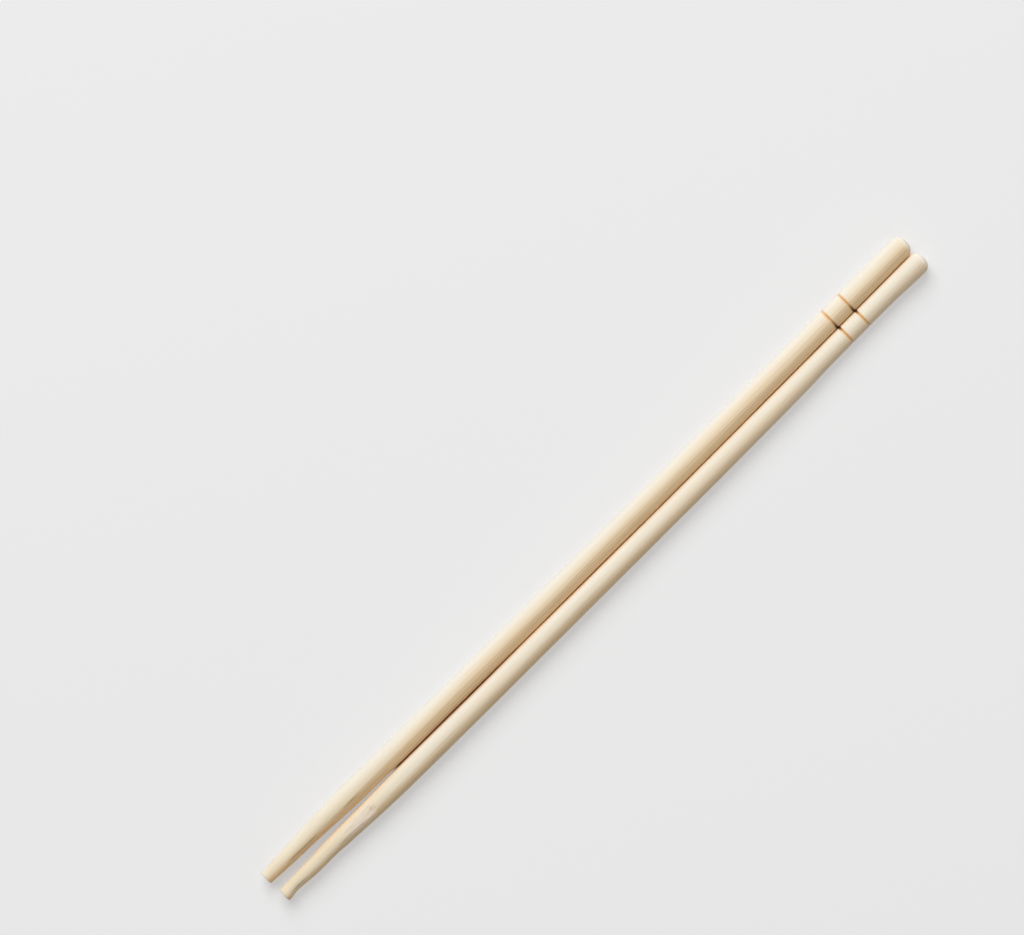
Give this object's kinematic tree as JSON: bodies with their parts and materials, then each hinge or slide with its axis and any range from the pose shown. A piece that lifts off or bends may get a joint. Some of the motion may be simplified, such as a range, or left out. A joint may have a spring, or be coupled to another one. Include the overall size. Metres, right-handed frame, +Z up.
{
  "type": "bamboo chopsticks",
  "caption": "Round bamboo chopsticks lying side by side, with tapered tips, burnt ring grooves and domed heads, for picking up food.",
  "frame": {"origin": "on the table under the middle of the pair", "axes": "+X along the sticks from the tips to the heads, +Y across them towards the left stick, +Z up from the table"},
  "size_m": [0.2102, 0.0115, 0.0057],
  "materials": {
    "bamboo": "turned and sanded, unvarnished"
  },
  "bodies": {
    "root": {"left_chopstick": "bamboo", "right_chopstick": "bamboo"}
  },
  "joints": []
}
